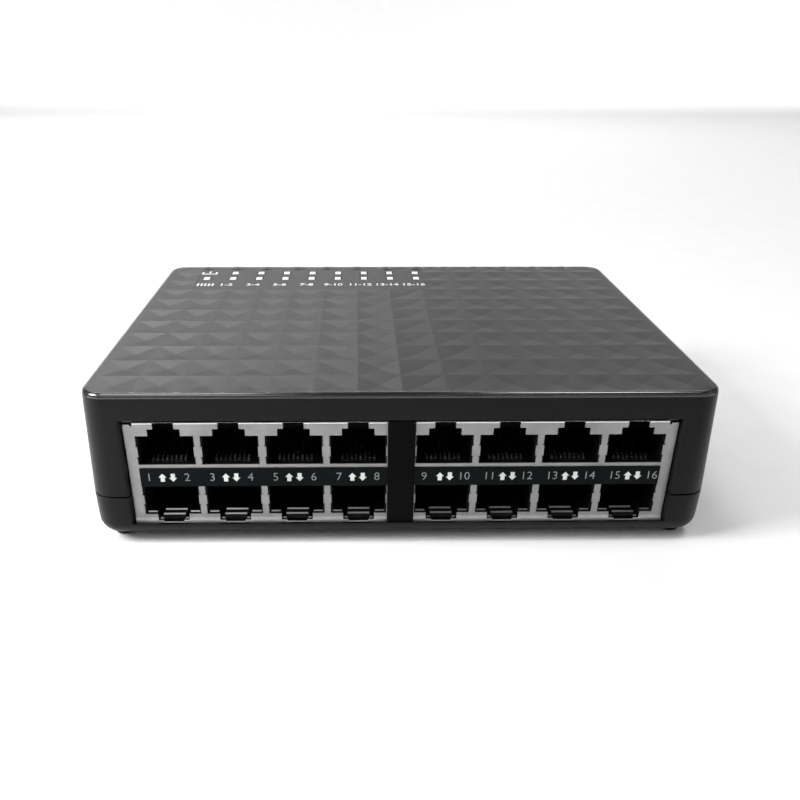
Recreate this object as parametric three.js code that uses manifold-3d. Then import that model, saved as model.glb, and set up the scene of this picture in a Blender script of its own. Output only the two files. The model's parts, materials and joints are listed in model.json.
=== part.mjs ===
// Desktop network switch with sixteen RJ45 ports in two ganged blocks.
// Millimetres, +Z up, front at -Y. The origin is at the centre of the footprint, on the surface it stands on.

import * as THREE from 'three';
import { mergeVertices } from 'three/addons/utils/BufferGeometryUtils.js';
import Module from 'manifold-3d';

const wasm = await Module();
wasm.setup();

// ---------------------------------------------------------------- driving dimensions

const GAP = 0.3;                 // clearance between neighbouring pieces

// Case
const TOP_WIDTH = 137.0;         // at the top face
const TOP_DEPTH = 103.2;
const HEIGHT = 37.0;
const SEAM_Z = 12.3;             // joint between the two covers
const TOP_DRAFT = 0.65;          // each side, from the top face down to the seam
const BASE_DRAFT = 0.15;         // each side, from the seam down to the base
const BASE_Z = 1.6;              // underside of the bottom cover
const CORNER_R = 5.4;            // upright corners
const TOP_EDGE_R = 1.0;
const BASE_EDGE_R = 3.9;
const WALL = 1.8;                // top cover
const BASE_WALL = 2.4;           // bottom cover, thick enough to carry the tongue
const ROOF = 2.0;
const FLOOR = 0.9;
const TONGUE = 1.0;              // rim of the bottom cover that stands inside the top cover

// Ganged jacks
const PITCH = 13.97;             // port to port
const COLUMNS = 4;               // port pairs in one block
const BLOCK_X = 30.37;           // centre of a block from the middle of the case
const SHIELD_FRONT = -50.6;
const SHIELD_BACK = -28.3;
const SHEET = 0.3;               // shield sheet
const SHIELD_INNER = 1.14;       // each shield reaches from here, beside the middle of the case,
const SHIELD_OUTER = 60.0;       // to here
const SHIELD_TOP = 29.9;
const SHIELD_LOW = 4.25;
const PORT_WIDTH = 12.56;        // opening in the shield
const CAVITY_WIDTH = 11.9;       // opening in the insulator
const STEP_WIDTH = 7.03;         // wide part of the latch notch
const NOTCH_WIDTH = 4.5;         // narrow part of the latch notch
const UPPER_PORT = { sill: 19.72, shoulder: 26.67, step: 28.3, notch: 29.6 };
const LOWER_PORT = { sill: 14.3, shoulder: 6.97, step: 5.35, notch: 4.6 };
const LABEL_TOP = 18.84;         // strip between the two rows
const CAVITY_BACK = -38.2;
const ROW_MIDDLE = (UPPER_PORT.sill + LOWER_PORT.sill) / 2;

// Contact combs, drawn for the upper row
const WIRES = 8;
const WIRE_PITCH = 1.02;
const WIRE_WIDTH = 0.46;
const COMB_Y = -47.9;            // the line that the wires bend about
const COMB_Z = 18.8;
const COMB_BAR = { halfX: 4.0, halfY: 1.0, halfZ: 0.6 };

// Front of the case
const CUTOUT_HALF = 60.2;
const CUTOUT_TOP = 30.8;
const LIP_TOP = 5.2;
const LIP_BACK = -51.45;
const POST_HALF = 3.0;
const POST_FRONT = -51.7;
const POST_BACK = -50.95;

// Circuit board
const BOARD_HALF_X = 59.8;
const BOARD_FRONT = -48.4;
const BOARD_BACK = 47.5;
const BOARD_LOW = 2.8;
const BOARD_TOP = 3.9;

// Lamps, in columns at the rear left of the top
const LAMP_COLUMNS = 9;          // the first is the power lamp
const LAMP_X = -55.6;
const LAMP_PITCH = 8.03;
const LAMP_ROWS = [37.4, 43.6];
const LAMP_HOLE = { x: 2.4, y: 3.2 };

// DC socket at the rear
const DC_X = 44;
const DC_FACE = 51.3;
const DC_WIDTH = 9.0;
const DC_DEPTH = 15.0;
const DC_HEIGHT = 11.0;
const DC_AXIS_Z = 10.7;
const DC_BORE_R = 3.15;
const DC_PIN_R = 1.0;

// Fasteners and feet
const BOSS_X = 63.0;
const BOSS_R = 2.7;              // columns of the top cover
const BASE_BOSS_R = 3.9;
const BOSS_ROWS = [-18, 36];
const FOOT_X = 64.0;
const FOOT_Y = 46.0;
const FOOT_R = 2.6;
const FOOT_TOP = 1.9;            // seated in a shallow recess of the base
const SCREW_SEAT = 5.2;          // under the screw heads

// ---------------------------------------------------------------- solids

function solid(geometry) {
  const bare = geometry.index ? geometry.toNonIndexed() : geometry.clone();
  bare.deleteAttribute('normal');
  bare.deleteAttribute('uv');
  const merged = mergeVertices(bare, 1e-4);
  return new wasm.Manifold(new wasm.Mesh({
    numProp: 3,
    vertProperties: new Float32Array(merged.attributes.position.array),
    triVerts: new Uint32Array(merged.index.array),
  }));
}

function geometryOf(body) {
  const mesh = body.getMesh();
  const geometry = new THREE.BufferGeometry();
  geometry.setAttribute('position', new THREE.BufferAttribute(new Float32Array(mesh.vertProperties), 3));
  geometry.setIndex(new THREE.BufferAttribute(new Uint32Array(mesh.triVerts), 1));
  return geometry;
}

function join(bodies) {
  return bodies.reduce((sum, body) => sum.add(body));
}

function cut(body, tools) {
  return tools.reduce((rest, tool) => rest.subtract(tool), body);
}

function block(x0, x1, y0, y1, z0, z1) {
  const box = new THREE.BoxGeometry(x1 - x0, y1 - y0, z1 - z0);
  box.translate((x0 + x1) / 2, (y0 + y1) / 2, (z0 + z1) / 2);
  return solid(box);
}

function upright(x, y, radius, z0, z1, sides = 12) {
  const cylinder = new THREE.CylinderGeometry(radius, radius, z1 - z0, sides);
  cylinder.rotateX(Math.PI / 2);
  cylinder.translate(x, y, (z0 + z1) / 2);
  return solid(cylinder);
}

// A cylinder along Y.
function lengthwise(x, z, radius, y0, y1, sides = 20) {
  const cylinder = new THREE.CylinderGeometry(radius, radius, y1 - y0, sides);
  cylinder.translate(x, (y0 + y1) / 2, z);
  return solid(cylinder);
}

// An outline in the XZ plane, swept along Y.
function sweepY(points, y0, y1) {
  const shape = new THREE.Shape(points.map(([x, z]) => new THREE.Vector2(x, z)));
  const geometry = new THREE.ExtrudeGeometry(shape, { depth: y1 - y0, bevelEnabled: false });
  geometry.rotateX(Math.PI / 2);
  geometry.translate(0, y1, 0);
  return solid(geometry);
}

// An outline in the YZ plane, swept along X.
function sweepX(points, x0, x1) {
  const shape = new THREE.Shape(points.map(([y, z]) => new THREE.Vector2(y, z)));
  const geometry = new THREE.ExtrudeGeometry(shape, { depth: x1 - x0, bevelEnabled: false });
  geometry.rotateX(Math.PI / 2);
  geometry.rotateZ(Math.PI / 2);
  geometry.translate(x0, 0, 0);
  return solid(geometry);
}

// A profile of [radius, z] points turned about an upright axis.
function turned(profile, x, y, sides = 20) {
  const lathe = new THREE.LatheGeometry(profile.map(([r, z]) => new THREE.Vector2(r, z)), sides);
  lathe.rotateX(Math.PI / 2);
  lathe.translate(x, y, 0);
  return solid(lathe);
}

function roundedOutline(halfX, halfY, radius) {
  const shape = new THREE.Shape();
  shape.absarc(halfX - radius, halfY - radius, radius, 0, Math.PI / 2, false);
  shape.absarc(radius - halfX, halfY - radius, radius, Math.PI / 2, Math.PI, false);
  shape.absarc(radius - halfX, radius - halfY, radius, Math.PI, 1.5 * Math.PI, false);
  shape.absarc(halfX - radius, radius - halfY, radius, 1.5 * Math.PI, 2 * Math.PI, false);
  return shape;
}

// How far each cover's wall stands out at height z, beyond the top face's outline.
const topWall = (z) => TOP_DRAFT * (HEIGHT - z) / (HEIGHT - SEAM_Z);
const baseWall = (z) => TOP_DRAFT - BASE_DRAFT * (SEAM_Z - z) / (SEAM_Z - BASE_Z);

// A cover's form between two heights, moved inward by inset, with rounded top and bottom edges.
function caseForm(wall, inset, z0, z1, edge) {
  const outline = roundedOutline(TOP_WIDTH / 2 - inset, TOP_DEPTH / 2 - inset, Math.max(CORNER_R - inset, 1.2));
  const geometry = new THREE.ExtrudeGeometry(outline, {
    depth: z1 - z0 - 2 * edge,
    bevelThickness: edge,
    bevelSize: edge,
    bevelOffset: -edge,
    bevelSegments: edge > 2 ? 3 : 2,
    curveSegments: 4,
  });
  geometry.translate(0, 0, z0 + edge);
  const place = geometry.attributes.position;
  for (let i = 0; i < place.count; i += 1) {
    const out = wall(place.getZ(i));
    place.setX(i, place.getX(i) + Math.sign(place.getX(i)) * out);
    place.setY(i, place.getY(i) + Math.sign(place.getY(i)) * out);
  }
  return solid(geometry);
}

// A band of the wall between two insets, with square edges.
function caseRing(wall, insetOut, insetIn, z0, z1) {
  return caseForm(wall, insetOut, z0, z1, 0.01).subtract(caseForm(wall, insetIn, z0 - 1, z1 + 1, 0.01));
}

const WIDE = 200;                // reaches past the case on every side

// ---------------------------------------------------------------- covers

function lampCentres() {
  const centres = [];
  for (let column = 0; column < LAMP_COLUMNS; column += 1) {
    for (const y of LAMP_ROWS) {
      if (column === 0 && y === LAMP_ROWS[1]) continue;
      centres.push([LAMP_X + column * LAMP_PITCH, y]);
    }
  }
  return centres;
}

function dcCutout() {
  return block(DC_X - DC_WIDTH / 2 - GAP, DC_X + DC_WIDTH / 2 + GAP, DC_FACE - 6, DC_FACE + 6,
    BOARD_TOP + 0.2, BOARD_TOP + GAP + DC_HEIGHT + GAP);
}

function sideVents() {
  const slots = 10;
  const pitch = 4.4;
  const width = 1.8;
  const vents = [];
  for (let i = 0; i < slots; i += 1) {
    const y = (i - (slots - 1) / 2) * pitch + 9;
    vents.push(block(-WIDE, WIDE, y - width / 2, y + width / 2, 18, 27));
  }
  return vents;
}

function topCover() {
  const low = SEAM_Z + GAP / 2;
  const outer = caseForm(topWall, 0, low - 3, HEIGHT, TOP_EDGE_R);
  const inner = caseForm(topWall, WALL, 0, HEIGHT - ROOF, 0.6);
  const below = block(-WIDE, WIDE, -WIDE, WIDE, -WIDE, low);
  const frontCut = block(-CUTOUT_HALF, CUTOUT_HALF, -WIDE, -45, 0, CUTOUT_TOP);
  const lampHoles = lampCentres().map(([x, y]) => block(
    x - LAMP_HOLE.x / 2, x + LAMP_HOLE.x / 2, y - LAMP_HOLE.y / 2, y + LAMP_HOLE.y / 2, 30, HEIGHT + 1));
  const shell = cut(outer, [inner, below, frontCut, dcCutout(), ...lampHoles, ...sideVents()]);
  const columns = [];
  const pilots = [];
  for (const x of [-BOSS_X, BOSS_X]) {
    for (const y of BOSS_ROWS) {
      columns.push(upright(x, y, BOSS_R, low + 0.6, HEIGHT - ROOF + 0.5));
      pilots.push(upright(x, y, 1.5, low - 1, low + 11, 12));
    }
  }
  return cut(join([shell, ...columns]), pilots);
}

function bottomCover() {
  const high = SEAM_Z - GAP / 2;
  const outer = caseForm(baseWall, 0, BASE_Z, high + 8, BASE_EDGE_R);
  const inner = caseForm(baseWall, BASE_WALL, BASE_Z + FLOOR, 60, 1.5);
  const above = block(-WIDE, WIDE, -WIDE, WIDE, high, WIDE);
  const tray = cut(outer, [inner, above]);
  const tongue = caseRing(topWall, WALL + GAP, WALL + GAP + TONGUE, high - 1.5, high + 1.7);
  const frontCut = block(-CUTOUT_HALF, CUTOUT_HALF, -WIDE, -45, LIP_TOP, WIDE);
  const shieldClear = block(-CUTOUT_HALF, CUTOUT_HALF, LIP_BACK, -45, SHIELD_LOW - GAP, LIP_TOP + 1);
  const boardClear = block(-CUTOUT_HALF, CUTOUT_HALF, BOARD_FRONT - GAP, -45, BASE_Z + FLOOR, LIP_TOP);
  const bosses = [];
  const holes = [];
  for (const x of [-BOSS_X, BOSS_X]) {
    for (const y of BOSS_ROWS) {
      bosses.push(upright(x, y, BASE_BOSS_R, BASE_Z + 0.2, SEAM_Z + 0.4));
      holes.push(upright(x, y, 1.5, 0, SEAM_Z + 2));
      holes.push(upright(x, y, 2.9, 0, SCREW_SEAT));
    }
  }
  for (const x of [-FOOT_X, FOOT_X]) {
    for (const y of [-FOOT_Y, FOOT_Y]) holes.push(upright(x, y, FOOT_R + GAP, 0, FOOT_TOP + GAP, 16));
  }
  const shell = cut(join([tray, tongue, ...bosses]), [frontCut, shieldClear, boardClear, dcCutout(), ...holes]);
  const postTop = CUTOUT_TOP - GAP;
  const post = block(-POST_HALF, POST_HALF, POST_FRONT, POST_BACK, SHIELD_LOW - 2 * GAP, postTop);
  const web = block(-0.8, 0.8, POST_BACK - 0.2, -45, SHIELD_LOW - 0.1, postTop - GAP);
  return join([shell, post, web]);
}

// ---------------------------------------------------------------- jacks

// The stepped outline of one port. Levels rise for the upper row and fall for the lower row.
function portOutline(x, width, levels) {
  const left = [
    [x - width / 2, levels.sill],
    [x - width / 2, levels.shoulder],
    [x - STEP_WIDTH / 2, levels.shoulder],
    [x - STEP_WIDTH / 2, levels.step],
    [x - NOTCH_WIDTH / 2, levels.step],
    [x - NOTCH_WIDTH / 2, levels.notch],
  ];
  const right = left.map(([px, pz]) => [2 * x - px, pz]).reverse();
  return [...left, ...right];
}

function columnX(side, index) {
  return side * BLOCK_X + (index - (COLUMNS - 1) / 2) * PITCH;
}

function jackShield(side) {
  const [x0, x1] = side > 0 ? [SHIELD_INNER, SHIELD_OUTER] : [-SHIELD_OUTER, -SHIELD_INNER];
  const outer = block(x0, x1, SHIELD_FRONT, SHIELD_BACK, SHIELD_LOW, SHIELD_TOP);
  const hollow = block(x0 + SHEET, x1 - SHEET, SHIELD_FRONT + SHEET, SHIELD_BACK - SHEET,
    SHIELD_LOW - 1, SHIELD_TOP - SHEET);
  const ports = [];
  for (let i = 0; i < COLUMNS; i += 1) {
    for (const levels of [UPPER_PORT, LOWER_PORT]) {
      const outline = portOutline(columnX(side, i), PORT_WIDTH, levels);
      ports.push(sweepY(outline, SHIELD_FRONT - 1, SHIELD_FRONT + SHEET + 0.2));
    }
  }
  return cut(outer, [hollow, ...ports]);
}

// The insulator of one pair of ports, one above the other, centred on x = 0.
function jackHousing() {
  const front = SHIELD_FRONT + SHEET + GAP;
  const half = (PITCH - GAP) / 2;
  const body = block(-half, half, front, SHIELD_BACK - SHEET - GAP, SHIELD_LOW + 0.25, SHIELD_TOP - SHEET - GAP);
  const tools = [];
  for (const levels of [UPPER_PORT, LOWER_PORT]) {
    tools.push(sweepY(portOutline(0, CAVITY_WIDTH, levels), front - 1, CAVITY_BACK));
  }
  const pocketHalf = COMB_BAR.halfX + GAP;
  const pocketDepth = 1.82;
  const pocketFront = COMB_Y - COMB_BAR.halfY - GAP;
  tools.push(block(-pocketHalf, pocketHalf, pocketFront, CAVITY_BACK,
    UPPER_PORT.sill - pocketDepth, UPPER_PORT.sill + 1));
  tools.push(block(-pocketHalf, pocketHalf, pocketFront, CAVITY_BACK,
    LOWER_PORT.sill - 1, LOWER_PORT.sill + pocketDepth));
  return cut(body, tools);
}

// Eight sprung wires on their moulded bar. Row +1 is the upper row, whose wires rise, and -1 the lower row.
function contactComb(row) {
  const high = (z) => (row > 0 ? z : 2 * ROW_MIDDLE - z);
  const profile = [
    [-48.3, 18.6], [-48.3, 20.1], [-39.2, 22.55], [-39.1, 22.2], [-47.7, 19.8], [-47.7, 18.6],
  ].map(([y, z]) => [y, high(z)]);
  const z0 = Math.min(high(COMB_Z - COMB_BAR.halfZ), high(COMB_Z + COMB_BAR.halfZ));
  const bar = block(-COMB_BAR.halfX, COMB_BAR.halfX, COMB_Y - COMB_BAR.halfY, COMB_Y + COMB_BAR.halfY,
    z0, z0 + 2 * COMB_BAR.halfZ);
  const wires = [];
  for (let i = 0; i < WIRES; i += 1) {
    const x = (i - (WIRES - 1) / 2) * WIRE_PITCH;
    wires.push(sweepX(profile, x - WIRE_WIDTH / 2, x + WIRE_WIDTH / 2));
  }
  return join([bar, ...wires]);
}

function portLabel(side) {
  const inner = 2.4;
  const outer = BLOCK_X + COLUMNS * PITCH / 2 - (PITCH - PORT_WIDTH) / 2;
  const x0 = side > 0 ? inner : -outer;
  return block(x0, x0 + outer - inner, SHIELD_FRONT - 0.25, SHIELD_FRONT - 0.05, LOWER_PORT.sill, LABEL_TOP);
}

// ---------------------------------------------------------------- circuit board and its parts

function circuitBoard() {
  const parts = [block(-BOARD_HALF_X, BOARD_HALF_X, BOARD_FRONT, BOARD_BACK, BOARD_LOW, BOARD_TOP)];
  for (const [x, y] of lampCentres()) {
    parts.push(block(x - 0.8, x + 0.8, y - 0.5, y + 0.5, BOARD_TOP - 0.1, BOARD_TOP + 0.6));
  }
  for (const side of [-1, 1]) {
    for (let i = 0; i < 6; i += 1) {
      const x = side * (18 + 5 * i);
      parts.push(block(x - 1.6, x + 1.6, -9.8, -8.2, BOARD_TOP - 0.1, BOARD_TOP + 0.55));
    }
  }
  const cuts = [];
  for (const x of [-BOSS_X, BOSS_X]) {
    for (const y of BOSS_ROWS) cuts.push(upright(x, y, BASE_BOSS_R + GAP, 0, 10));
  }
  return cut(join(parts), cuts);
}

// A moulded package with a chamfered top, standing on the board.
function chipPackage(x, y, width, depth, height) {
  const low = BOARD_TOP + GAP;
  const mid = low + height * 0.55;
  const inset = Math.min(0.4, height * 0.2);
  const geometry = new THREE.BoxGeometry(width, depth, mid - low);
  geometry.translate(x, y, (low + mid) / 2);
  const lid = new THREE.CylinderGeometry(Math.SQRT1_2 * (1 - 2 * inset / width), Math.SQRT1_2, height - mid + low, 4);
  lid.rotateY(Math.PI / 4);
  lid.rotateX(Math.PI / 2);
  lid.scale(width, depth, 1);
  lid.translate(x, y, (mid + low + height) / 2 - 0.005);
  return join([solid(geometry), solid(lid)]);
}

function heatSink(x, y, low) {
  const size = 24;
  const fins = 8;
  const thickness = 1.1;
  const parts = [block(x - size / 2, x + size / 2, y - size / 2, y + size / 2, low, low + 1.6)];
  for (let i = 0; i < fins; i += 1) {
    const fx = x - size / 2 + i * (size - thickness) / (fins - 1);
    parts.push(block(fx, fx + thickness, y - size / 2, y + size / 2, low + 1, low + 8));
  }
  return join(parts);
}

function transformer(x) {
  return chipPackage(x, -18, 26, 11.5, 6);
}

function capacitor(x, y) {
  const low = BOARD_TOP + GAP;
  return turned([[0, low], [4.0, low], [4.0, low + 1], [3.75, low + 1.4], [4.0, low + 1.8],
    [4.0, low + 11], [3.7, low + 11.4], [0, low + 11.4]], x, y, 14);
}

function crystal(x, y) {
  const outline = roundedOutline(5.2, 1.9, 1.9);
  const geometry = new THREE.ExtrudeGeometry(outline, { depth: 3.4, bevelEnabled: false, curveSegments: 4 });
  geometry.translate(x, y, BOARD_TOP + GAP);
  return solid(geometry);
}

function powerInductor(x, y) {
  const low = BOARD_TOP + GAP;
  const base = block(x - 4, x + 4, y - 4, y + 4, low, low + 1);
  return join([base, turned([[0, low + 0.5], [3.6, low + 0.5], [3.6, low + 4], [0, low + 4]], x, y, 14)]);
}

function lightGuide() {
  const top = HEIGHT - 0.1;
  const parts = [block(LAMP_X - 2, LAMP_X + (LAMP_COLUMNS - 1) * LAMP_PITCH + 2,
    LAMP_ROWS[0] - 2, LAMP_ROWS[1] + 2, HEIGHT - ROOF - 3.2, HEIGHT - ROOF - 1.4)];
  for (const [x, y] of lampCentres()) {
    parts.push(block(x - LAMP_HOLE.x / 2 + GAP, x + LAMP_HOLE.x / 2 - GAP,
      y - LAMP_HOLE.y / 2 + GAP, y + LAMP_HOLE.y / 2 - GAP, BOARD_TOP + 1.2, top));
  }
  return join(parts);
}

// ---------------------------------------------------------------- DC socket

const DC_LOW = BOARD_TOP + GAP;
const LEAF_SLOT_BACK = DC_FACE - DC_DEPTH + 2.6;
const LEAF_HINGE = { y: LEAF_SLOT_BACK + 1.2, z: 6.4 };

function dcBody() {
  const body = block(DC_X - DC_WIDTH / 2, DC_X + DC_WIDTH / 2, DC_FACE - DC_DEPTH, DC_FACE, DC_LOW, DC_LOW + DC_HEIGHT);
  const bore = lengthwise(DC_X, DC_AXIS_Z, DC_BORE_R, DC_FACE - 9.5, DC_FACE + 1);
  const pinHole = lengthwise(DC_X, DC_AXIS_Z, DC_PIN_R + GAP, DC_FACE - DC_DEPTH - 1, DC_FACE - 5, 12);
  const slot = block(DC_X - 1.6, DC_X + 1.6, LEAF_SLOT_BACK, DC_FACE - 1.6, DC_LOW - 1, DC_AXIS_Z - 2);
  return cut(body, [bore, pinHole, slot]);
}

function dcPin() {
  const back = DC_FACE - DC_DEPTH + 1;
  const tip = DC_FACE - 1.2;
  const lathe = new THREE.LatheGeometry([
    new THREE.Vector2(0, back), new THREE.Vector2(DC_PIN_R, back), new THREE.Vector2(DC_PIN_R, tip - 0.6),
    new THREE.Vector2(0.45, tip), new THREE.Vector2(0, tip)], 16);
  lathe.translate(DC_X, 0, DC_AXIS_Z);
  return solid(lathe);
}

function dcSpring() {
  const { y, z } = LEAF_HINGE;
  return sweepX([
    [y - 0.8, z - 0.2], [y + 1.2, z - 0.2], [y + 5.6, z + 1.2], [y + 8.4, z + 0.4],
    [y + 8.5, z + 0.8], [y + 5.6, z + 1.6], [y + 1.1, z + 0.2], [y - 0.8, z + 0.2],
  ], DC_X - 1.2, DC_X + 1.2);
}

// ---------------------------------------------------------------- feet, screws, rating label

function rubberFoot(x, y) {
  return turned([[0, 0], [FOOT_R - 1, 0], [FOOT_R - 0.4, 0.25], [FOOT_R, 0.8], [FOOT_R, FOOT_TOP], [0, FOOT_TOP]], x, y, 16);
}

function caseScrew(x, y) {
  const head = 3.0;
  const seat = SCREW_SEAT - 0.05;
  return turned([[0, head], [2.2, head], [2.6, head + 0.5], [2.6, seat], [1.2, seat],
    [1.2, 21.4], [0.4, 22.4], [0, 22.4]], x, y, 12);
}

function ratingLabel() {
  return block(-30, 30, -6, 24, BASE_Z - 0.25, BASE_Z - 0.05);
}

// ---------------------------------------------------------------- assembly

function material(color, roughness, metalness) {
  return new THREE.MeshStandardMaterial({ color, roughness, metalness });
}

const LOOKS = {
  case: () => material(0x232325, 0.55, 0),
  shield: () => material(0xb9b9b6, 0.35, 1),
  insulator: () => material(0x0c0c0d, 0.6, 0),
  contact: () => material(0xc9a04a, 0.3, 1),
  label: () => material(0x15191b, 0.5, 0),
  lens: () => material(0xe6e8e6, 0.35, 0),
  board: () => material(0x1d5a34, 0.5, 0),
  chip: () => material(0x161617, 0.6, 0),
  aluminium: () => material(0xb4b6b8, 0.35, 1),
  steel: () => material(0x9a9b9d, 0.35, 1),
  rubber: () => material(0x1a1a1b, 0.85, 0),
  paper: () => material(0xd6d6d2, 0.7, 0),
};

const network_switch = new THREE.Group();

function place(name, body, look, x = 0, y = 0, z = 0) {
  const mesh = new THREE.Mesh(geometryOf(body), LOOKS[look]());
  mesh.name = name;
  mesh.position.set(x, y, z);
  network_switch.add(mesh);
}

place('top_cover', topCover(), 'case');
place('bottom_cover', bottomCover(), 'case');
place('circuit_board', circuitBoard(), 'board');
place('light_guide', lightGuide(), 'lens');

const combUpper = contactComb(1);
const combLower = contactComb(-1);
const housing = jackHousing();
let column = 0;
for (const [side, hand] of [[-1, 'left'], [1, 'right']]) {
  place(`jack_shield_${hand}`, jackShield(side), 'shield');
  place(`port_label_${hand}`, portLabel(side), 'label');
  for (let i = 0; i < COLUMNS; i += 1) {
    column += 1;
    const x = columnX(side, i);
    const number = (port) => String(port).padStart(2, '0');
    place(`jack_housing_${column}`, housing, 'insulator', x);
    place(`contact_comb_${number(2 * column - 1)}`, combUpper, 'contact', x);
    place(`contact_comb_${number(2 * column)}`, combLower, 'contact', x);
  }
}

const CHIP_Y = 8;
const CHIP_HEIGHT = 1.6;
place('switch_chip', chipPackage(0, CHIP_Y, 20, 20, CHIP_HEIGHT), 'chip');
place('heat_sink', heatSink(0, CHIP_Y, BOARD_TOP + GAP + CHIP_HEIGHT + GAP), 'aluminium');
[-45, -15, 15, 45].forEach((x, i) => place(`transformer_${i + 1}`, transformer(x), 'chip'));
[[34, 26], [44, 26], [54, 26]].forEach(([x, y], i) => place(`capacitor_${i + 1}`, capacitor(x, y), 'aluminium'));
place('crystal', crystal(-24, 6), 'steel');
place('power_inductor', powerInductor(34, 10), 'chip');
place('regulator_chip', chipPackage(44, 10, 5, 4, 1.6), 'chip');
place('rectifier_diode', chipPackage(54, 10, 4.3, 2.7, 2.2), 'chip');

place('dc_jack_body', dcBody(), 'insulator');
place('dc_jack_pin', dcPin(), 'steel');
place('dc_jack_spring', dcSpring(), 'contact');

const handed = (x, y) => `${y < 0 ? 'front' : 'rear'}_${x < 0 ? 'left' : 'right'}`;
for (const x of [-1, 1]) {
  for (const y of [-1, 1]) {
    place(`rubber_foot_${handed(x, y)}`, rubberFoot(x * FOOT_X, y * FOOT_Y), 'rubber');
  }
  for (const y of BOSS_ROWS) {
    place(`case_screw_${handed(x, y)}`, caseScrew(x * BOSS_X, y), 'steel');
  }
}
place('rating_label', ratingLabel(), 'paper');

export default network_switch;
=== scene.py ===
"""Looks of the desktop network switch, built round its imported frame.

Sizes are in millimetres and become metres where a mesh is made. +Z is up, and the ports face -Y.
"""

import json
import math

import bmesh
import bpy
from mathutils import Matrix, Vector


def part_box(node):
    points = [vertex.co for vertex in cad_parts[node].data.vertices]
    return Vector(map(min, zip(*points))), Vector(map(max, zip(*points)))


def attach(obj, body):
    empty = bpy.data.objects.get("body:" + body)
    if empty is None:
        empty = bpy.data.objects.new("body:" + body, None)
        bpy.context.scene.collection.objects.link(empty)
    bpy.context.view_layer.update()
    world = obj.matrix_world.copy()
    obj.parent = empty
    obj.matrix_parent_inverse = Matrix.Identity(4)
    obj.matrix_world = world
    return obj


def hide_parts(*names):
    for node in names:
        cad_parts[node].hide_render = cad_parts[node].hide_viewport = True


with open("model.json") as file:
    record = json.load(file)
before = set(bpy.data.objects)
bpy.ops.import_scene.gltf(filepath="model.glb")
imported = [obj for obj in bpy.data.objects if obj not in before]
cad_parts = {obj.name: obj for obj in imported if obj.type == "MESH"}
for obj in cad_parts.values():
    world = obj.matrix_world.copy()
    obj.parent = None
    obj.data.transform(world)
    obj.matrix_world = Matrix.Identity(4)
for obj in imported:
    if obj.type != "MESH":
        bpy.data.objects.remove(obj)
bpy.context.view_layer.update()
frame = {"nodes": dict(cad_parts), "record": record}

MM = 0.001
WIDE = 90.0                      # reaches past the case on every side


def cad_box(node):
    """Lowest and highest corner of a CAD node, in millimetres."""
    low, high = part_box(node)
    return low / MM, high / MM


# ---------------------------------------------------------------- places taken from the frame

TOP_LOW, TOP_HIGH = cad_box("top_cover")
BASE_LOW, BASE_HIGH = cad_box("bottom_cover")
SHIELDS = {side: cad_box(f"jack_shield_{side}") for side in ("left", "right")}
LABELS = {side: cad_box(f"port_label_{side}") for side in ("left", "right")}
GUIDE_LOW, GUIDE_HIGH = cad_box("light_guide")
DC_LOW, DC_HIGH = cad_box("dc_jack_body")
PORTS = {}
for opening in frame["record"]["physics"]["openings"]:
    (x0, y0, z0), (x1, y1, z1) = opening["box_m"]
    PORTS[int(opening["name"][-2:])] = ((x0 + x1) / 2 / MM, (z0 + z1) / 2 / MM)
COLUMN_X = [PORTS[number][0] for number in range(1, 17, 2)]

# ---------------------------------------------------------------- sizes

# Case
GAP = 0.3                        # clearance between pieces
HEIGHT = TOP_HIGH.z
SEAM_LOW = 12.15                 # top of the bottom cover's wall
TOP_SLOPE = 0.0263               # outward draft per millimetre, downward
BASE_SLOPE = 0.0140              # inward draft per millimetre, downward
CORNER_R = 5.4
TOP_EDGE_R = 1.0
BASE_EDGE_R = 3.9
WALL = 1.8
BASE_WALL = 2.4
ROOF = 2.0
FLOOR = 0.9
TONGUE = 1.0
CUTOUT_HALF = 60.2
CUTOUT_TOP = 30.8
CUTOUT_EDGE_R = 0.8              # front edges of the opening's upright sides
LIP_TOP = 5.2
LIP_BACK = -51.45
LIP_FLOOR = 3.95                 # the lip's foot, where the shields stand
SEAM_EDGE_R = 0.18
BOARD_FRONT = -48.4
JACK_ROOM_BACK = -45.0           # the front openings are cut back to here
POST = {"half": 3.0, "front": -51.7, "back": -50.95, "web": 0.8, "low": 3.65, "web_low": 4.15}
CORNER_STEPS = 10
VENTS = {"count": 10, "pitch": 4.4, "width": 1.8, "middle": 9.0, "low": 18.0, "high": 27.0,
         "round": 0.6}

# Relief of the top: square tiles that are shallow four-sided pits
TILE = 9.5
TILE_DEPTH = 0.36
TILE_COLUMNS = 14
TILE_ROWS = 12
TILE_FRONT = -51.19              # front edge of the first row
RIDGE = 0.06                     # rounded part of each half tile
RELIEF_TOP = HEIGHT - 0.01
LAMP_ZONE = {"x0": -58.0, "x1": 10.9, "y0": 25.2, "y1": 48.0, "z": HEIGHT - 0.15}

# Lamps
LAMP_COLUMNS = 9
LAMP_PITCH = 8.03
LAMP_HOLE = {"width": 2.4, "depth": 3.2, "low": 30.0}
LAMP_X = GUIDE_LOW.x + 2.0
LAMP_ROWS = (GUIDE_LOW.y + 2.0, GUIDE_HIGH.y - 2.0)

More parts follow.
